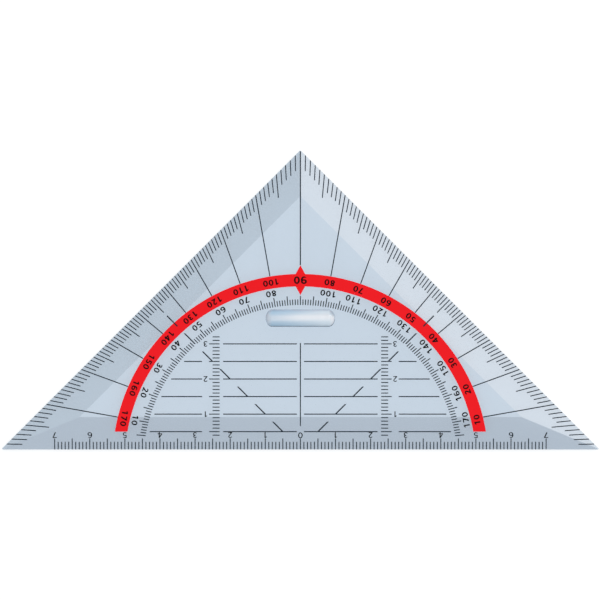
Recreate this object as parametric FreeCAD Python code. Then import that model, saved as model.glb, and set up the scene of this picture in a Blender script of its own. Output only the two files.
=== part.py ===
"""Clear set square with a printed protractor, rulers and a lift-off finger grip, in millimetres.

The origin is the middle of the long edge, at the underside. +X runs along the long edge,
+Y points at the right-angled corner (the apex), and +Z is up, out of the printed face.
The print is laid out about its own zero mark, which lies just inside the long edge.
"""
import FreeCAD
import Part
import math
import os
from collections import namedtuple
from FreeCAD import Matrix, Placement, Rotation, Vector

# Plate
HALF_BASE = 85.3  # from the origin to each sharp corner and to the apex
CENTRE_THICKNESS = 2.2
EDGE_THICKNESS = 1.0
BEVEL_WIDTH = 9.3
TIP_RADIUS = 0.25
EDGE_ROUND = 0.12

# Finger grip, a rounded bar with two split pegs
GRIP_Y = 37.45
GRIP_LENGTH = 19.8
GRIP_WIDTH = 5.0
GRIP_END = 1.9  # how far each rounded end reaches along the bar
GRIP_HEIGHT = 4.2
GRIP_CROWN = 2.35
GRIP_FOOT_ROUND = 0.2
PEG_SPACING = 12.4
PEG_RADIUS = 1.2
PEG_CLEARANCE = 0.05
PEG_LENGTH = 2.05
PEG_CHAMFER = 0.25
PEG_SLOT_WIDTH = 0.5
PEG_SLOT_DEPTH = 1.5

# Print, measured from its zero mark
ZERO_Y = 0.1
INK = 0.05
LINE = 0.3
APEX_LINE = 0.33
TICK_WIDTH = 0.28
EDGE_MARGIN = 0.03  # the print stops this far inside the plate's outline

# Protractor
BAND_DROP = 3.63  # the band's centre lies this far below the zero mark
BAND_INNER = 50.0
BAND_OUTER = 53.55
BAND_NUMERAL_RADIUS = 51.73
BAND_NUMERAL_HEIGHT = 1.7
BAND_FOOT_Y = 5.0
DIAMOND_Y = 48.15
DIAMOND_HALF_HEIGHT = 4.24
DIAMOND_HALF_WIDTH = 2.36
DIAMOND_NUMERAL_HEIGHT = 2.12
RING_INNER = 44.7
RING_OUTER = 46.3
RING_OUTER_LONG = 47.3
RING_FIRST_ANGLE = 5
RING_NUMERAL_RADIUS = 48.6
RING_NUMERAL_HEIGHT = 1.7
# The printed numbers are set by eye: these sit this far past their ray, in reading direction
BAND_SHIFT = {10: -0.5, 20: -0.2, 30: -0.35, 40: -0.2, 60: -0.1, 110: 0.4, 120: 0.2, 130: -0.15, 160: -0.2}
RING_SHIFT = {
    20: -0.3, 30: -0.35, 40: -0.6, 50: -0.15, 70: 0.35, 80: -0.15, 100: 0.5, 110: 0.6, 140: 0.15, 150: 0.15,
}
EDGE_MARK_DEPTH = 3.25
EDGE_MARK_DEPTH_LONG = 5.2

# Rulers
RULER_REACH = 70
RULER_TICK = 2.1
RULER_TICK_LONG = 3.05
RULER_NUMERAL_Y = 4.02
RULER_NUMERAL_HEIGHT = 1.62
ZERO_NUMERAL_Y = 3.95
ZERO_NUMERAL_HEIGHT = 1.65
PARALLEL_PITCH = 5
PARALLEL_COUNT = 6
PARALLEL_GAP = 1.0
PARALLEL_INNER_END = 22.0
PARALLEL_OUTER_START = 28.0
PARALLEL_RADIUS = 43.75
HEIGHT_SCALE_X = 23.0
HEIGHT_SCALE_LOW = 4
HEIGHT_SCALE_HIGH = 32
HEIGHT_TICK = 2.0
HEIGHT_TICK_LONG = 3.0
HEIGHT_NUMERAL_X = 27.0
HEIGHT_NUMERAL_HEIGHT = 1.6
DASH_RUN = 3.0
DASH_WIDTH = 0.36
DASH_COUNT = 7
CENTRE_LINE_LOW = 6.6
CENTRE_LINE_HIGH = 30.25
APEX_LINE_TOP = HALF_BASE - ZERO_Y - 0.3

# Numerals, in parts of their height
DIGIT_HALF_WIDTH = 0.395
DIGIT_PITCH = 0.945
Pen = namedtuple("Pen", "stroke bar")  # an upright stroke's width and a level one's
BOLD_PEN = Pen(0.23, 0.18)
FINE_PEN = Pen(0.18, 0.14)

ROOT_TWO = math.sqrt(2)
UP = Vector(0, 0, 1)
SIDES = {"left": -1, "right": 1}


# The plate's top: a flat centre and one sloping facet along each edge

def depth_from_base(x, y):
    return y


def depth_from_left(x, y):
    return (HALF_BASE + x - y) / ROOT_TWO


def depth_from_right(x, y):
    return (HALF_BASE - x - y) / ROOT_TWO


def depth_of_ridge(x, y):
    return BEVEL_WIDTH


def surface_height(depth):
    rise = CENTRE_THICKNESS - EDGE_THICKNESS
    return EDGE_THICKNESS + rise * depth / BEVEL_WIDTH


LEFT_TIP = (-HALF_BASE, 0)
RIGHT_TIP = (HALF_BASE, 0)
APEX = (0, HALF_BASE)
RIDGE_X = HALF_BASE - BEVEL_WIDTH * (1 + ROOT_TWO)
RIDGE_LEFT = (-RIDGE_X, BEVEL_WIDTH)
RIDGE_RIGHT = (RIDGE_X, BEVEL_WIDTH)
RIDGE_APEX = (0, HALF_BASE - BEVEL_WIDTH * ROOT_TWO)

# Each region of the top: its corners in plan, counter-clockwise, and its depth rule
REGIONS = (
    ((RIDGE_LEFT, RIDGE_RIGHT, RIDGE_APEX), depth_of_ridge),
    ((LEFT_TIP, RIGHT_TIP, RIDGE_RIGHT, RIDGE_LEFT), depth_from_base),
    ((RIGHT_TIP, APEX, RIDGE_APEX, RIDGE_RIGHT), depth_from_right),
    ((APEX, LEFT_TIP, RIDGE_LEFT, RIDGE_APEX), depth_from_left),
)


def polygon_area(polygon):
    """The area in plan, positive when the points run counter-clockwise."""
    pairs = zip(polygon, polygon[1:] + polygon[:1])
    return sum(p[0] * q[1] - q[0] * p[1] for p, q in pairs) / 2


def flat_face(points):
    """A face, facing up, from points in plan or in space."""
    corners = [Vector(*point) for point in points]
    if polygon_area(points) < 0:
        corners.reverse()
    return Part.Face(Part.makePolygon(corners + corners[:1]))


def facet_cutter(start, end):
    """The space above one facet, along the edge from start to end."""
    overrun = 20.0
    outside = 2.0
    above = CENTRE_THICKNESS + 2.0
    first = Vector(*start, 0)
    along = (Vector(*end, 0) - first).normalize()
    inward = UP.cross(along)
    profile = (
        (-outside, surface_height(-outside)),
        (BEVEL_WIDTH, CENTRE_THICKNESS),
        (BEVEL_WIDTH, above),
        (-outside, above),
    )
    corners = [first - along * overrun + inward * depth + UP * height for depth, height in profile]
    section = Part.Face(Part.makePolygon(corners + corners[:1]))
    length = (Vector(*end, 0) - first).Length + 2 * overrun
    return section.extrude(along * length)


def peg_places():
    return [Vector(side * PEG_SPACING / 2, GRIP_Y, 0) for side in SIDES.values()]


def make_plate():
    blank = flat_face((LEFT_TIP, RIGHT_TIP, APEX)).extrude(UP * CENTRE_THICKNESS)
    upright = [edge for edge in blank.Edges if edge.BoundBox.ZLength > CENTRE_THICKNESS / 2]
    blank = blank.makeFillet(TIP_RADIUS, upright)
    for start, end in ((LEFT_TIP, RIGHT_TIP), (RIGHT_TIP, APEX), (APEX, LEFT_TIP)):
        blank = blank.cut(facet_cutter(start, end))
    foot = [edge for edge in blank.Edges if edge.BoundBox.ZMax < EDGE_ROUND]
    blank = blank.makeFillet(EDGE_ROUND, foot)
    for place in peg_places():
        hole = Part.makeCylinder(PEG_RADIUS + PEG_CLEARANCE, CENTRE_THICKNESS + 2, place - UP)
        blank = blank.cut(hole)
    return blank


# Finger grip

def half_section():
    """Half of the bar's cross-section: a face in the YZ plane, from the middle out to one side."""
    side = GRIP_WIDTH / 2
    foot = GRIP_FOOT_ROUND
    crown = GRIP_CROWN
    crown_foot = GRIP_HEIGHT - crown
    from_corner = 1 - math.sqrt(0.5)
    foot_middle = Vector(0, side - foot * from_corner, foot * from_corner)
    crown_middle = Vector(0, side - crown * from_corner, GRIP_HEIGHT - crown * from_corner)
    low = Vector(0, 0, 0)
    high = Vector(0, 0, GRIP_HEIGHT)
    foot_start = Vector(0, side - foot, 0)
    wall_start = Vector(0, side, foot)
    wall_end = Vector(0, side, crown_foot)
    crown_end = Vector(0, side - crown, GRIP_HEIGHT)
    return Part.Face(Part.Wire([
        Part.makeLine(low, foot_start),
        Part.Arc(foot_start, foot_middle, wall_start).toShape(),
        Part.makeLine(wall_start, wall_end),
        Part.Arc(wall_end, crown_middle, crown_end).toShape(),
        Part.makeLine(crown_end, high),
        Part.makeLine(high, low),
    ]))


def make_bar():
    """The bar above its pegs: a straight run between two half-oval ends, standing at the origin."""
    origin = Vector(0, 0, 0)
    reach = GRIP_LENGTH / 2 - GRIP_END
    section = half_section()
    run = section.translated(Vector(-reach, 0, 0)).extrude(Vector(2 * reach, 0, 0))
    other_run = run.mirror(origin, Vector(0, 1, 0))
    squeeze = Matrix()
    squeeze.A11 = GRIP_END / (GRIP_WIDTH / 2)
    left_end = section.revolve(origin, UP, 180).transformGeometry(squeeze)
    left_end.translate(Vector(-reach, 0, 0))
    right_end = left_end.mirror(origin, Vector(1, 0, 0))
    return run.multiFuse([other_run, left_end, right_end]).removeSplitter()


def make_peg(place):
    """A round peg under the bar, chamfered at its tip and split so that it can spring."""
    root = place + UP * (CENTRE_THICKNESS + 1.0)
    length = PEG_LENGTH + 1.0
    peg = Part.makeCylinder(PEG_RADIUS, length, root, -UP)
    tip_z = root.z - length
    tip = [edge for edge in peg.Edges if edge.BoundBox.ZMax < tip_z + 0.01]
    peg = peg.makeChamfer(PEG_CHAMFER, tip)
    corner = Vector(place.x - PEG_SLOT_WIDTH / 2, place.y - PEG_RADIUS - 1, tip_z - 1)
    slot = Part.makeBox(PEG_SLOT_WIDTH, 2 * PEG_RADIUS + 2, PEG_SLOT_DEPTH + 1, corner)
    return peg.cut(slot)


def make_grip():
    bar = make_bar()
    bar.translate(Vector(0, GRIP_Y, CENTRE_THICKNESS))
    pegs = [make_peg(place) for place in peg_places()]
    return bar.multiFuse(pegs).removeSplitter()


# Print: thin solids that lie on the top, folded over its ridges

def clipped(polygon, region):
    """The part of a polygon that lies inside a convex region, both in plan."""
    for a, b in zip(region, region[1:] + region[:1]):
        kept = []
        for p, q in zip(polygon, polygon[1:] + polygon[:1]):
            side_p = (b[0] - a[0]) * (p[1] - a[1]) - (b[1] - a[1]) * (p[0] - a[0])
            side_q = (b[0] - a[0]) * (q[1] - a[1]) - (b[1] - a[1]) * (q[0] - a[0])
            if side_p >= 0:
                kept.append(p)
            if side_p * side_q < 0:
                share = side_p / (side_p - side_q)
                kept.append((p[0] + (q[0] - p[0]) * share, p[1] + (q[1] - p[1]) * share))
        polygon = kept
        if len(polygon) < 3:
            return []
    return polygon


def joined(pieces):
    """One solid from pieces that meet on a ridge."""
    if len(pieces) == 1:
        return pieces[0]
    return pieces[0].multiFuse(pieces[1:]).removeSplitter()


def film(polygon, layer=0):
    """A printed straight-sided mark; layer 1 lies on another film."""
    smallest = 1e-4
    placed = [(x, y + ZERO_Y) for x, y in polygon]
    pieces = []
    for region, depth in REGIONS:
        part = clipped(placed, region)
        if len(part) < 3 or polygon_area(part) < smallest:
            continue
        lifted = [(x, y, surface_height(depth(x, y)) + layer * INK) for x, y in part]
        pieces.append(flat_face(lifted).extrude(UP * INK))
    return joined(pieces)


def inside_centre(face):
    """Whether a face lies wholly on the flat centre."""
    box = face.BoundBox
    corners = [(x, y) for x in (box.XMin, box.XMax) for y in (box.YMin, box.YMax)]
    rules = (depth_from_base, depth_from_left, depth_from_right)
    return all(rule(x, y) > BEVEL_WIDTH for x, y in corners for rule in rules)


def curved_film(face, layer=0):
    """A printed mark from a face in plan that may have curved sides and holes."""
    lift = layer * INK
    face = face.translated(Vector(0, ZERO_Y, 0))
    if inside_centre(face):
        return face.translated(UP * (CENTRE_THICKNESS + lift)).extrude(UP * INK)
    smallest = 1e-5
    column = face.extrude(UP * 2 * CENTRE_THICKNESS)
    pieces = []
    for region, depth in REGIONS:
        lifted = [(x, y, surface_height(depth(x, y)) + lift) for x, y in region]
        slab = flat_face(lifted).extrude(UP * INK)
        for solid in column.common(slab).Solids:
            if solid.Volume > smallest:
                pieces.append(solid)
    return joined(pieces)


def strip(start, end, width=LINE):
    """A straight mark in plan, as a polygon."""
    run_x = end[0] - start[0]
    run_y = end[1] - start[1]
    half = width / 2 / math.hypot(run_x, run_y)
    side_x = -run_y * half
    side_y = run_x * half
    return [
        (start[0] - side_x, start[1] - side_y),
        (end[0] - side_x, end[1] - side_y),
        (end[0] + side_x, end[1] + side_y),
        (start[0] + side_x, start[1] + side_y),
    ]


def on_ray(angle, distance):
    """A point in plan at an angle and a distance from the zero mark."""
    turn = math.radians(angle)
    return (distance * math.cos(turn), distance * math.sin(turn))


def reach_to_radius(angle, radius):
    """How far along a ray from the zero mark a circle about the band's centre lies."""
    turn = math.radians(angle)
    across = BAND_DROP * math.cos(turn)
    return math.sqrt(radius**2 - across**2) - BAND_DROP * math.sin(turn)


def reach_to_edge(angle, depth):
    """How far along a ray the line at this depth inside the short sides lies."""
    turn = math.radians(angle)
    return (HALF_BASE - ZERO_Y - depth * ROOT_TWO) / (abs(math.cos(turn)) + math.sin(turn))


# Digits: faces one unit high about their own centre

def ellipse_face(centre_y, half_width, half_height):
    if half_width > half_height:
        curve = Part.Ellipse(Vector(0, 0, 0), half_width, half_height).toShape()
    else:
        curve = Part.Ellipse(Vector(0, 0, 0), half_height, half_width).toShape()
        curve.rotate(Vector(0, 0, 0), UP, 90)
    curve.translate(Vector(0, centre_y, 0))
    return Part.Face(Part.Wire([curve]))


def rectangle(left, low, right, high):
    """A face with level and upright sides."""
    return flat_face(((left, low), (right, low), (right, high), (left, high)))


def bowl(pen, centre_y, half_width, half_height):
    """A closed oval stroke, thinner where it runs level."""
    outer = ellipse_face(centre_y, half_width, half_height)
    return outer.cut(ellipse_face(centre_y, half_width - pen.stroke, half_height - pen.bar))


def opened(oval, left, low, right, high):
    """The oval stroke with a rectangle taken out."""
    return oval.cut(rectangle(left, low, right, high))


def digit_zero(pen):
    return (bowl(pen, 0, DIGIT_HALF_WIDTH, 0.5),)


def digit_one(pen):
    left = -0.05
    right = left + pen.stroke
    return (flat_face((
        (left, -0.5), (right, -0.5), (right, 0.5), (left + 0.02, 0.5),
        (-0.27, 0.36), (-0.27, 0.36 - pen.bar), (left, 0.45 - pen.bar),
    )),)


def digit_two(pen):
    arch = opened(bowl(pen, 0.22, 0.33, 0.28), -0.5, -0.1, 0, 0.27)
    arch = opened(arch, 0, -0.1, 0.5, 0.15)
    slope = flat_face((
        (0.33, 0.19), (0.33 - 1.05 * pen.stroke, 0.17), (-0.35, -0.4), (-0.35 + 1.4 * pen.stroke, -0.4),
    ))
    base = rectangle(-0.35, -0.5, 0.35, -0.5 + pen.bar)
    return arch, slope, base


def digit_three(pen):
    upper = opened(bowl(pen, 0.235, 0.32, 0.265), -0.5, 0.12, 0, 0.29)
    upper = opened(upper, -0.5, -0.1, -0.1, 0.29)
    lower = opened(bowl(pen, -0.205, 0.35, 0.295), -0.5, -0.29, 0, -0.06)
    lower = opened(lower, -0.5, -0.29, -0.1, 0.2)
    middle = rectangle(-0.1, 0.04 - pen.bar / 2, 0.05, 0.04 + pen.bar / 2)
    return upper, lower, middle


def digit_four(pen):
    post = rectangle(0.04, -0.5, 0.04 + pen.stroke, 0.5)
    shelf = rectangle(-0.4, -0.3, 0.4, -0.3 + pen.bar)
    steepness = 0.7 / 0.45
    wide = 1.05 * pen.stroke
    inner_top = -0.2 + steepness * (0.5 - wide)
    slope = flat_face(((-0.4, -0.2), (-0.4 + wide, -0.2), (0.1, inner_top), (0.1, 0.5), (0.05, 0.5)))
    return post, shelf, slope


def digit_five(pen):
    post = rectangle(-0.3, -0.03, -0.32 + pen.stroke, 0.5)
    flag = rectangle(-0.3, 0.5 - pen.bar, 0.3, 0.5)
    belly = opened(bowl(pen, -0.185, 0.35, 0.315), -0.5, -0.3, 0, -0.04)
    belly = opened(belly, -0.5, -0.1, -0.2, 0.2)
    return post, flag, belly


def digit_six(pen):
    belly = bowl(pen, -0.19, DIGIT_HALF_WIDTH, 0.31)
    stem = opened(bowl(pen, 0, DIGIT_HALF_WIDTH + 0.01, 0.5), 0, -0.6, 0.5, 0.33)
    stem = opened(stem, -0.5, -0.6, 0, -0.12)
    return belly, stem


def digit_seven(pen):
    return (flat_face((
        (-0.35, 0.5), (-0.35, 0.5 - pen.bar), (0.36 - 1.22 * pen.stroke, 0.5 - pen.bar),
        (-0.24, -0.5), (-0.24 + 1.13 * pen.stroke, -0.5), (0.36, 0.37), (0.36, 0.5),
    )),)


def digit_eight(pen):
    return bowl(pen, -0.205, 0.36, 0.295), bowl(pen, 0.235, 0.32, 0.265)


def digit_nine(pen):
    strokes = digit_six(pen)
    for stroke in strokes:
        stroke.rotate(Vector(0, 0, 0), UP, 180)
    return strokes


def joined_face(strokes):
    """One face from overlapping strokes, read off the top of the solid that they make together."""
    columns = [face.extrude(UP) for stroke in strokes for face in stroke.Faces]
    solid = columns[0].multiFuse(columns[1:]).removeSplitter() if len(columns) > 1 else columns[0]
    tops = [face for face in solid.Faces if face.BoundBox.ZMin > 0.99]
    if len(tops) != 1:
        raise ValueError("the strokes must make one connected face")
    return tops[0].translated(-UP)


MAKERS = (
    digit_zero, digit_one, digit_two, digit_three, digit_four,
    digit_five, digit_six, digit_seven, digit_eight, digit_nine,
)
DIGITS = {pen: [joined_face(maker(pen)) for maker in MAKERS] for pen in (BOLD_PEN, FINE_PEN)}


def number(value, height, centre, pen, toward=None, layer=0, shift=0):
    """Films for a number about a point. Its top points at toward, or at -Y when none is given."""
    if toward is None:
        toward = (centre[0], centre[1] - 1)
    turn = math.degrees(math.atan2(toward[1] - centre[1], toward[0] - centre[0])) - 90
    place = Placement(Vector(*centre, 0), Rotation(UP, turn))
    text = str(value)
    films = []
    for index, letter in enumerate(text):
        offset = (index - (len(text) - 1) / 2) * DIGIT_PITCH * height + shift
        digit = DIGITS[pen][int(letter)].scaled(height)
        digit.translate(Vector(offset, 0, 0))
        digit.Placement = place.multiply(digit.Placement)
        films.append(curved_film(digit, layer))
    return films


# Protractor

def arc_segment(radius, foot_y):
    """The face of a circle about the band's centre that lies above foot_y."""
    centre = Vector(0, -BAND_DROP, 0)
    disc = Part.Face(Part.Wire([Part.makeCircle(radius, centre, UP)]))
    reach = radius + 1
    below = flat_face(((-reach, -2 * reach), (reach, -2 * reach), (reach, foot_y), (-reach, foot_y)))
    return disc.cut(below)


def protractor_band():
    band = arc_segment(BAND_OUTER, BAND_FOOT_Y).cut(arc_segment(BAND_INNER, BAND_FOOT_Y - 1))
    diamond = flat_face((
        (0, DIAMOND_Y - DIAMOND_HALF_HEIGHT), (DIAMOND_HALF_WIDTH, DIAMOND_Y),
        (0, DIAMOND_Y + DIAMOND_HALF_HEIGHT), (-DIAMOND_HALF_WIDTH, DIAMOND_Y),
    ))
    return [curved_film(joined_face((band, diamond)))]


def band_numerals():
    films = number(90, DIAMOND_NUMERAL_HEIGHT, (0, DIAMOND_Y), BOLD_PEN, (0, 0), 1)
    for angle in range(10, 180, 10):
        if angle != 90:
            centre = on_ray(angle, reach_to_radius(angle, BAND_NUMERAL_RADIUS))
            shift = BAND_SHIFT.get(angle, 0)
            films += number(angle, BAND_NUMERAL_HEIGHT, centre, BOLD_PEN, (0, 0), 1, shift)
    return films


def inner_degree_numerals():
    films = []
    for angle in range(10, 180, 10):
        if angle != 90:
            centre = on_ray(angle, reach_to_radius(angle, RING_NUMERAL_RADIUS))
            shift = RING_SHIFT.get(angle, 0)
            films += number(180 - angle, RING_NUMERAL_HEIGHT, centre, BOLD_PEN, (0, 0), 0, shift)
    return films


def inner_degree_ticks():
    films = []
    for angle in range(RING_FIRST_ANGLE, 181 - RING_FIRST_ANGLE):
        if angle in (45, 135):
            continue  # a diagonal dash takes this tick's place
        outer = RING_OUTER_LONG if angle % 5 == 0 else RING_OUTER
        start = on_ray(angle, reach_to_radius(angle, RING_INNER))
        end = on_ray(angle, reach_to_radius(angle, outer))
        films.append(film(strip(start, end, TICK_WIDTH)))
    return films


def edge_degree_marks(side):
    films = []
    for step in range(1, 90):
        if step % 10 == 0:
            continue
        angle = 90 - side * (90 - step)
        depth = EDGE_MARK_DEPTH_LONG if step % 5 == 0 else EDGE_MARK_DEPTH
        start = on_ray(angle, reach_to_edge(angle, depth))
        end = on_ray(angle, reach_to_edge(angle, EDGE_MARGIN))
        films.append(film(strip(start, end, TICK_WIDTH)))
    return films


def ten_degree_rays(side):
    films = []
    for step in range(10, 90, 10):
        angle = 90 - side * (90 - step)
        clear_of_band = BAND_OUTER + LINE * 0.1
        start = on_ray(angle, reach_to_radius(angle, clear_of_band))
        end = on_ray(angle, reach_to_edge(angle, EDGE_MARGIN))
        films.append(film(strip(start, end)))
    return films


def apex_centre_line():
    foot = DIAMOND_Y + DIAMOND_HALF_HEIGHT
    return [film(strip((0, foot), (0, APEX_LINE_TOP), APEX_LINE))]


def lower_centre_line():
    return [film(strip((0, CENTRE_LINE_LOW), (0, CENTRE_LINE_HIGH)))]


# Rulers

def ruler_graduations():
    films = []
    for x in range(-RULER_REACH, RULER_REACH + 1):
        top = RULER_TICK_LONG if x % 5 == 0 else RULER_TICK
        films.append(film(strip((x, EDGE_MARGIN - ZERO_Y), (x, top), TICK_WIDTH)))
    return films


def ruler_numerals():
    films = number(0, ZERO_NUMERAL_HEIGHT, (0, ZERO_NUMERAL_Y), FINE_PEN)
    for centimetre in range(1, RULER_REACH // 10 + 1):
        for side in SIDES.values():
            centre = (side * centimetre * 10, RULER_NUMERAL_Y)
            films += number(centimetre, RULER_NUMERAL_HEIGHT, centre, FINE_PEN)
    return films


def parallel_lines():
    films = []
    for row in range(1, PARALLEL_COUNT + 1):
        y = row * PARALLEL_PITCH
        outer_end = math.sqrt(PARALLEL_RADIUS**2 - (y + BAND_DROP) ** 2)
        spans = [(PARALLEL_GAP, PARALLEL_INNER_END)]
        if row < PARALLEL_COUNT:
            spans.append((PARALLEL_OUTER_START, outer_end))
        for side in SIDES.values():
            for near, far in spans:
                films.append(film(strip((side * near, y), (side * far, y))))
    return films


def height_scale(side):
    films = []
    for y in range(HEIGHT_SCALE_LOW, HEIGHT_SCALE_HIGH + 1):
        length = HEIGHT_TICK_LONG if y % 5 == 0 else HEIGHT_TICK
        start = (side * HEIGHT_SCALE_X, y)
        end = (side * (HEIGHT_SCALE_X + length), y)
        films.append(film(strip(start, end, TICK_WIDTH)))
    return films


def height_numerals(side):
    films = []
    for centimetre in (1, 2, 3):
        centre = (side * HEIGHT_NUMERAL_X, 10 * centimetre)
        films += number(centimetre, HEIGHT_NUMERAL_HEIGHT, centre, FINE_PEN)
    return films


def diagonal_run(side, low, high):
    """A piece of the 45 degree line between two heights, its ends cut level."""
    half = DASH_WIDTH / ROOT_TWO
    corners = [
        (side * (low + half), low), (side * (high + half), high),
        (side * (high - half), high), (side * (low - half), low),
    ]
    if side < 0:
        corners.reverse()
    return film(corners)


def diagonal_dashes(side):
    """Dashes at each 5 mm. The last starts on the band and goes on beside it."""
    films = []
    band_edge = reach_to_radius(45, BAND_OUTER) / ROOT_TWO
    gap = 0.015
    clear_of_line = LINE / 2
    for row in range(1, DASH_COUNT + 1):
        low = row * PARALLEL_PITCH
        high = low + DASH_RUN
        if row == DASH_COUNT:
            on_band = band_edge - gap
            past_band = band_edge + gap
            films.append(film(strip((side * low, low), (side * on_band, on_band), DASH_WIDTH), 1))
            films.append(film(strip((side * past_band, past_band), (side * high, high), DASH_WIDTH)))
        elif row == PARALLEL_COUNT:
            films.append(diagonal_run(side, low, high))
        else:
            films.append(diagonal_run(side, low + clear_of_line, high - clear_of_line))
    return films


def write(name, shapes):
    """One file for a sub-part, after a look at its solids."""
    shape = shapes[0] if len(shapes) == 1 else Part.Compound(shapes)
    if not shape.isValid():
        raise ValueError(name + " is not valid")
    shape.exportStep("parts/" + name + ".step")
    print(name, len(shape.Solids), "solids", round(shape.Volume, 3), "mm3")


def main():
    os.makedirs("parts", exist_ok=True)
    write("plate", [make_plate()])
    write("finger_grip", [make_grip()])
    write("protractor_band", protractor_band())
    write("band_numerals", band_numerals())
    write("inner_degree_ticks", inner_degree_ticks())
    write("inner_degree_numerals", inner_degree_numerals())
    write("apex_centre_line", apex_centre_line())
    write("lower_centre_line", lower_centre_line())
    write("ruler_graduations", ruler_graduations())
    write("ruler_numerals", ruler_numerals())
    write("parallel_lines", parallel_lines())
    for name, side in SIDES.items():
        write(name + "_edge_degree_marks", edge_degree_marks(side))
        write(name + "_ten_degree_rays", ten_degree_rays(side))
        write(name + "_height_scale", height_scale(side))
        write(name + "_height_numerals", height_numerals(side))
        write(name + "_diagonal_dashes", diagonal_dashes(side))


main()
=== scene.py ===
"""Looks for the clear set square: moulded plastic, printed inks, a white studio and the camera."""
import bpy
import math
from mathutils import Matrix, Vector


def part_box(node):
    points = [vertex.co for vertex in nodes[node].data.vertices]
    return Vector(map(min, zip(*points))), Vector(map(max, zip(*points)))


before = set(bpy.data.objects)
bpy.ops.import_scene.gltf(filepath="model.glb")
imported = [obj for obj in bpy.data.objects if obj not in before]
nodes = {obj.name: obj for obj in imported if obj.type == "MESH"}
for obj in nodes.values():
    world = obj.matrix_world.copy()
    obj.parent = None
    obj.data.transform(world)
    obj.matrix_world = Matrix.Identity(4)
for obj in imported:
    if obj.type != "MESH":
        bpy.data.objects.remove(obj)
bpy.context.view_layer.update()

# Camera: a long lens straight above, in metres
FRAME_WIDTH = 0.1709  # how much of the table the picture spans
FRAME_CENTRE = Vector((-0.00011, 0.0426, 0.0016))
CAMERA_HEIGHT = 2.0
CAMERA_SIGHT = 100.0
SENSOR = 36.0

# Light, with each softbox as its place, its side and its radiance
WHITE = (1.0, 1.0, 1.0)
WORLD_LEVEL = 0.58
WORLD_COLOUR = (0.97, 0.99, 1.0)
OVERHEAD_SOFTBOX = ((0.2, 0.2, 3.2), 3.0, 1.16)
KEY_SOFTBOX = ((1.4, 1.2, 1.7), 0.9, 5.3)
SOFTBOX_TARGET = (0.0, 0.04, 0.0)

# Floor
FLOOR_SIZE = 30.0
FLOOR_DROP = 0.0001  # just below the underside
FLOOR_COLOUR = (0.55, 0.55, 0.55)
FLOOR_GLOW = 0.54
FLOOR_GLOW_FAR = 0.72  # where the lamps hardly reach
FLOOR_LIT = (0.4, 3.0)  # the glow rises between these distances

# The plate and the grip as they are moulded, in metres
HALF_BASE = 0.0853
BEVEL_WIDTH = 0.0093
GRIP_END_REACH = 0.0019
GRIP_RIM_HEIGHTS = (0.0041, 0.0042)  # the rim's line starts here, just above the upright wall

# Plastic: what the plate lets through from top to bottom, in its centre and on its three facets; the facets
# carry painted shade, darker on the left and lower ones, and painted light, paler on the right one
IOR = 1.49
LAMP_RAYS = ("Is Shadow Ray", "Is Diffuse Ray")  # these carry light to what lies below
PLASTIC_WEAR = (900.0, 4.0)  # noise scale and detail
PLATE_TINT = (0.6, 0.678, 0.757)
LEFT_FACET_SHADED_TINT = (0.508, 0.585, 0.661)
RIGHT_FACET_LIT_TINT = (0.674, 0.729, 0.79)
LOWER_FACET_SHADED_TINT = (0.468, 0.538, 0.616)
PLATE_ROUGHNESS = (0.01, 0.05)

# Grip: bluish plastic with painted light and shade: a white painted highlight on the crown between bluish
# flanks with painted shade, painted light that makes it paler to the right, and a painted shadow line round
# its rim
GRIP_CROWN_HIGHLIGHT = (0.78, 0.8, 0.84)
GRIP_CROWN_LEFT_SHADED = (0.57, 0.65, 0.74)
GRIP_FLANK_SHADED = (0.43, 0.62, 0.79)
GRIP_FLANK_RIGHT_LIT = (0.72, 0.83, 0.92)
GRIP_END_LEFT_LIT = (0.76, 0.83, 0.92)
GRIP_END_RIGHT_LIT = (0.95, 0.97, 1.0)
GRIP_END_SHADE = (0.5, 0.6, 0.69)
GRIP_RIM_LIT = (0.66, 0.81, 0.96)
GRIP_RIM_SHADOW = (0.17, 0.23, 0.28)
GRIP_SHADE = (0.9, 0.93, 0.96)  # the light that it lets through to the plate
GRIP_ROUGHNESS = (0.18, 0.26)

# Where the grip's painted light and shade change, in half widths across it and in reaches of its rounded ends
CROWN_RISE = 0.075  # how far the crown's painted highlight lies above the middle
CROWN_TURN = 0.1  # how much farther at the right end, and nearer at the left
CROWN_FULL = 0.15  # of the half length: the crown's painted highlight is at its whitest from here to the right
FLANK_RANGE = (0.05, 0.72)
END_RANGE = (0.0, 0.9)
END_SHADE_ALONG = (0.0, 0.4)
END_SHADE_DOWN = (-0.6, 0.0)
RIM_RANGE = (0.87, 0.93)
RIM_SHADOW_RANGE = (0.2, 0.95)
RIM_TURN = 0.35  # how far the painted shadow on the rim turns to the right

# Print: each ink in two close tones
LINE_INK = ((0.014, 0.022, 0.034), (0.022, 0.03, 0.042))
NUMERAL_INK = ((0.002, 0.002, 0.003), (0.004, 0.004, 0.005))
RED_INK = ((0.87, 0.0115, 0.0165), (0.91, 0.0135, 0.0195))
INK_SHINE = 0.03
INK_ROUGHNESS = (0.4, 0.6)
INK_TONE_NOISE = (700.0, 3.0)
INK_GRAIN_NOISE = (2500.0, 3.0)


# Node helpers, for a material or the world

def new_material(name):
    material = bpy.data.materials.new(name)
    material.use_nodes = True
    material.node_tree.nodes.clear()
    return material


def add(material, kind, inputs=None, **settings):
    """A node with its settings and the values of its input sockets."""
    node = material.node_tree.nodes.new(kind)
    for name, value in settings.items():
        setattr(node, name, value)
    for name, value in (inputs or {}).items():
        node.inputs[name].default_value = value
    return node


def link(material, source, target):
    material.node_tree.links.new(source, target)


def surface(material, shader):
    output = add(material, "ShaderNodeOutputMaterial")
    link(material, shader, output.inputs["Surface"])


def rgba(colour):
    return (*colour, 1.0)


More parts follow.
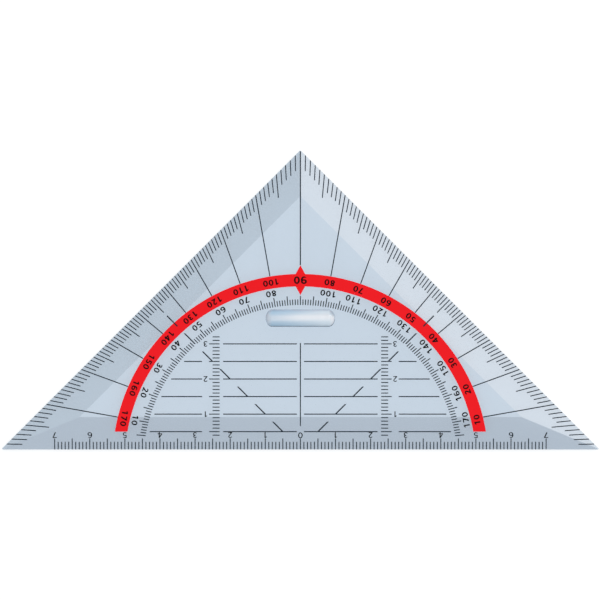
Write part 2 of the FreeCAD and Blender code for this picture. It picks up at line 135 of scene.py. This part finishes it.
def position(material):
    """The place on the object, in metres."""
    return add(material, "ShaderNodeTexCoord").outputs["Object"]


def noise(material, scale, detail):
    texture = add(material, "ShaderNodeTexNoise", {"Scale": scale, "Detail": detail})
    link(material, position(material), texture.inputs["Vector"])
    return texture.outputs["Fac"]


def ranged(material, source, low, high):
    """A 0 to 1 signal brought between two values."""
    node = add(material, "ShaderNodeMapRange", {"To Min": low, "To Max": high})
    link(material, source, node.inputs["Value"])
    return node.outputs["Result"]


def eased(material, source, start, end):
    """0 up to start and 1 from end on, with a soft change between them."""
    limits = {"From Min": start, "From Max": end}
    node = add(material, "ShaderNodeMapRange", limits, interpolation_type="SMOOTHSTEP")
    link(material, source, node.inputs["Value"])
    return node.outputs["Result"]


def calculated(material, operation, *values):
    """A Math node over one or two values, each a number or a socket."""
    node = add(material, "ShaderNodeMath", operation=operation)
    for socket, value in zip(node.inputs, values):
        if isinstance(value, (int, float)):
            socket.default_value = value
        else:
            link(material, value, socket)
    return node.outputs["Value"]


def along(material, direction, offset):
    """How far a point lies along a direction, plus an offset."""
    dot = add(material, "ShaderNodeVectorMath", {1: direction}, operation="DOT_PRODUCT")
    link(material, position(material), dot.inputs[0])
    return calculated(material, "ADD", dot.outputs["Value"], offset)


def blended(material, share, first, second):
    """A colour between two, each three numbers or a socket."""
    node = add(material, "ShaderNodeMix", data_type="RGBA")
    link(material, share, node.inputs["Factor"])
    for socket, colour in ((node.inputs[6], first), (node.inputs[7], second)):
        if isinstance(colour, tuple):
            socket.default_value = rgba(colour)
        else:
            link(material, colour, socket)
    return node.outputs[2]


def lets_through(material, shader, tint, kinds):
    """The shader, but clear with a tint, a colour or a socket, for these kinds of rays."""
    path = add(material, "ShaderNodeLightPath")
    for kind in kinds:
        clear = add(material, "ShaderNodeBsdfTransparent")
        if isinstance(tint, tuple):
            clear.inputs["Color"].default_value = rgba(tint)
        else:
            link(material, tint, clear.inputs["Color"])
        mix = add(material, "ShaderNodeMixShader")
        link(material, path.outputs[kind], mix.inputs[0])
        link(material, shader, mix.inputs[1])
        link(material, clear.outputs["BSDF"], mix.inputs[2])
        shader = mix.outputs["Shader"]
    return shader


# Plate

def facet_tint_and_painted_shade(material):
    """The plate's tint: its own in the centre, and painted shade in the three bevelled borders, deeper on the
    left and lower ones and paler on the right one.
    """
    slant = math.sqrt(0.5)
    borders = (
        (along(material, (0.0, 1.0, 0.0), 0.0), LOWER_FACET_SHADED_TINT),
        (along(material, (slant, -slant, 0.0), HALF_BASE * slant), LEFT_FACET_SHADED_TINT),
        (along(material, (-slant, -slant, 0.0), HALF_BASE * slant), RIGHT_FACET_LIT_TINT),
    )
    depths = [depth for depth, tint in borders]
    colour = PLATE_TINT
    for depth, tint in borders:
        others = [other for other in depths if other != depth]
        nearest = calculated(material, "MINIMUM", *others)
        limit = calculated(material, "MINIMUM", nearest, BEVEL_WIDTH)
        inside = calculated(material, "LESS_THAN", depth, limit)
        colour = blended(material, inside, colour, tint)
    return colour


def square_root(material, colour):
    """A colour for one face, where two faces together give the colour."""
    node = add(material, "ShaderNodeGamma", {"Gamma": 0.5})
    link(material, colour, node.inputs["Color"])
    return node.outputs["Color"]


def clear_plate():
    material = new_material("clear_plate")
    plastic = add(material, "ShaderNodeBsdfPrincipled", {"IOR": IOR, "Transmission Weight": 1.0})
    # the base colour is the plate's tint with painted shade and painted light on its facets; lamp rays
    # through the plate take the same tint
    tint = facet_tint_and_painted_shade(material)
    link(material, tint, plastic.inputs["Base Color"])
    wear = noise(material, *PLASTIC_WEAR)
    link(material, ranged(material, wear, *PLATE_ROUGHNESS), plastic.inputs["Roughness"])
    # What has entered the plate leaves it straight, so the plate traps no light and isn't dark from the side
    kinds = (*LAMP_RAYS, "Is Glossy Ray")
    surface(material, lets_through(material, plastic.outputs["BSDF"], square_root(material, tint), kinds))
    return material


# Grip

def grip_body_tint_and_painted_light(material, half_length, right, past_end, downward):
    """Painted light and shade over the grip's bluish tint, from the crown's painted highlight to the shaded
    flanks, across the bar and round its ends, with painted shade on the upper side of the right end.
    """
    reach = half_length - GRIP_END_REACH
    crown_rise = along(material, (CROWN_TURN / half_length, 0.0, 0.0), CROWN_RISE)
    off_crown = calculated(material, "ABSOLUTE", calculated(material, "ADD", downward, crown_rise))
    # the crown's painted highlight, fading to painted shade towards the left end
    crown_share = eased(material, right, -reach, CROWN_FULL * half_length)
    crown = blended(material, crown_share, GRIP_CROWN_LEFT_SHADED, GRIP_CROWN_HIGHLIGHT)
    # painted light, paler towards the right; the flanks' blue is partly the plastic's tint and partly painted
    # shade
    paler = eased(material, right, -reach, half_length)
    flank = blended(material, paler, GRIP_FLANK_SHADED, GRIP_FLANK_RIGHT_LIT)
    body = blended(material, eased(material, off_crown, *FLANK_RANGE), crown, flank)

    # painted light on the rounded ends, then painted shade on the upper side of the right end
    at_end = eased(material, calculated(material, "ABSOLUTE", past_end), *END_RANGE)
    lit_end = blended(material, paler, GRIP_END_LEFT_LIT, GRIP_END_RIGHT_LIT)
    body = blended(material, at_end, body, lit_end)
    behind = calculated(material, "SUBTRACT", 1.0, eased(material, downward, *END_SHADE_DOWN))
    in_shade = calculated(material, "MULTIPLY", eased(material, past_end, *END_SHADE_ALONG), behind)
    return blended(material, in_shade, body, GRIP_END_SHADE)


def grip_tint_and_painted_light(material, low, high):
    """The body's painted light and shade, and a line round its rim with painted shadow below and to the
    right.
    """
    centre = (low + high) / 2
    half_length = (high.x - low.x) / 2
    half_width = (high.y - low.y) / 2
    reach = half_length - GRIP_END_REACH
    right = along(material, (1.0, 0.0, 0.0), -centre.x)
    within = calculated(material, "MAXIMUM", calculated(material, "MINIMUM", right, reach), -reach)
    past_end = calculated(material, "DIVIDE", calculated(material, "SUBTRACT", right, within), GRIP_END_REACH)
    downward = calculated(material, "DIVIDE", along(material, (0.0, -1.0, 0.0), centre.y), half_width)

    squares = [calculated(material, "MULTIPLY", value, value) for value in (past_end, downward)]
    outward = calculated(material, "SQRT", calculated(material, "ADD", *squares))
    # the rim line is a painted shadow below and to the right and a painted lit edge elsewhere
    lean = calculated(material, "ADD", calculated(material, "MULTIPLY", past_end, RIM_TURN), downward)
    painted_rim_line = blended(material, eased(material, lean, *RIM_SHADOW_RANGE), GRIP_RIM_LIT, GRIP_RIM_SHADOW)
    above_wall = eased(material, along(material, (0.0, 0.0, 1.0), 0.0), *GRIP_RIM_HEIGHTS)
    on_rim = calculated(material, "MULTIPLY", eased(material, outward, *RIM_RANGE), above_wall)
    body = grip_body_tint_and_painted_light(material, half_length, right, past_end, downward)
    return blended(material, on_rim, body, painted_rim_line)


def milky_grip():
    material = new_material("milky_grip")
    plastic = add(material, "ShaderNodeBsdfPrincipled", {
        "IOR": IOR, "Transmission Weight": 0.2, "Coat Weight": 0.6, "Coat Roughness": 0.04,
    })
    low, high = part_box("finger_grip")
    # the grip's base colour: its bluish tint with painted highlight, painted light and painted shade
    link(material, grip_tint_and_painted_light(material, Vector(low), Vector(high)), plastic.inputs["Base Color"])
    wear = noise(material, *PLASTIC_WEAR)
    link(material, ranged(material, wear, *GRIP_ROUGHNESS), plastic.inputs["Roughness"])
    surface(material, lets_through(material, plastic.outputs["BSDF"], GRIP_SHADE, LAMP_RAYS))
    return material


# Print

def ink(name, tones):
    material = new_material(name)
    film = add(material, "ShaderNodeBsdfPrincipled", {"IOR": IOR, "Specular IOR Level": INK_SHINE})
    tone = noise(material, *INK_TONE_NOISE)
    grain = noise(material, *INK_GRAIN_NOISE)
    link(material, blended(material, tone, *tones), film.inputs["Base Color"])
    link(material, ranged(material, grain, *INK_ROUGHNESS), film.inputs["Roughness"])
    surface(material, film.outputs["BSDF"])
    return material


def dress_pieces():
    """Gives each CAD piece its finish."""
    plastics = {"plate": clear_plate(), "finger_grip": milky_grip()}
    line_ink = ink("line_ink", LINE_INK)
    numeral_ink = ink("numeral_ink", NUMERAL_INK)
    red_ink = ink("red_ink", RED_INK)
    for node in nodes:
        if node in plastics:
            finish = plastics[node]
        elif node == "protractor_band":
            finish = red_ink
        elif node.endswith("numerals"):
            finish = numeral_ink
        else:
            finish = line_ink
        mesh = nodes[node].data
        mesh.materials.clear()
        mesh.materials.append(finish)
        if node not in plastics:
            nodes[node].visible_shadow = False  # a film this thin casts none that shows


# Studio

def shows_background(holder):
    """1 for the rays that show what lies behind the object, in a material or the world."""
    path = add(holder, "ShaderNodeLightPath")
    seen = path.outputs["Is Camera Ray"]
    for kind in ("Is Glossy Ray", "Is Transmission Ray"):
        seen = calculated(holder, "MAXIMUM", seen, path.outputs[kind])
    return seen


def floor_glow(material):
    """The floor's own glow, stronger far out, so that it stays white there too."""
    distance = add(material, "ShaderNodeVectorMath", operation="LENGTH")
    link(material, position(material), distance.inputs[0])
    far = eased(material, distance.outputs["Value"], *FLOOR_LIT)
    return ranged(material, far, FLOOR_GLOW, FLOOR_GLOW_FAR)


def make_floor():
    material = new_material("floor")
    paper = add(material, "ShaderNodeBsdfDiffuse", {"Color": rgba(FLOOR_COLOUR)})
    glow = add(material, "ShaderNodeEmission")
    strength = calculated(material, "MULTIPLY", shows_background(material), floor_glow(material))
    link(material, strength, glow.inputs["Strength"])
    both = add(material, "ShaderNodeAddShader")
    link(material, paper.outputs["BSDF"], both.inputs[0])
    link(material, glow.outputs["Emission"], both.inputs[1])
    surface(material, both.outputs["Shader"])
    bpy.ops.mesh.primitive_plane_add(size=FLOOR_SIZE, location=(0.0, 0.0, -FLOOR_DROP))
    floor = bpy.context.object
    floor.name = "floor"
    floor.data.materials.append(material)


def make_world():
    """White where the background shows, and the room's light for everything else."""
    world = bpy.data.worlds.new("studio")
    bpy.context.scene.world = world
    world.use_nodes = True
    world.node_tree.nodes.clear()
    white = add(world, "ShaderNodeBackground", {"Color": rgba(WHITE), "Strength": 1.0})
    room = add(world, "ShaderNodeBackground", {"Color": rgba(WORLD_COLOUR), "Strength": WORLD_LEVEL})
    mix = add(world, "ShaderNodeMixShader")
    link(world, shows_background(world), mix.inputs[0])
    link(world, room.outputs["Background"], mix.inputs[1])
    link(world, white.outputs["Background"], mix.inputs[2])
    output = add(world, "ShaderNodeOutputWorld")
    link(world, mix.outputs["Shader"], output.inputs["Surface"])


def make_softbox(name, place, side, radiance):
    """A square area lamp of a given radiance, turned to the plate."""
    data = bpy.data.lights.new(name, "AREA")
    data.shape = "SQUARE"
    data.size = side
    data.energy = radiance * math.pi * side**2
    lamp = bpy.data.objects.new(name, data)
    lamp.location = place
    lamp.rotation_mode = "QUATERNION"
    lamp.rotation_quaternion = (Vector(SOFTBOX_TARGET) - Vector(place)).to_track_quat("-Z", "Y")
    bpy.context.scene.collection.objects.link(lamp)


def make_camera():
    data = bpy.data.cameras.new("camera")
    data.sensor_width = SENSOR
    data.lens = SENSOR * CAMERA_HEIGHT / FRAME_WIDTH
    data.clip_end = CAMERA_SIGHT
    camera = bpy.data.objects.new("camera", data)
    camera.location = FRAME_CENTRE + Vector((0.0, 0.0, CAMERA_HEIGHT))
    bpy.context.scene.collection.objects.link(camera)
    bpy.context.scene.camera = camera


dress_pieces()
make_floor()
make_world()
make_softbox("overhead_softbox", *OVERHEAD_SOFTBOX)
make_softbox("key_softbox", *KEY_SOFTBOX)
make_camera()
bpy.context.scene.view_settings.view_transform = "Standard"
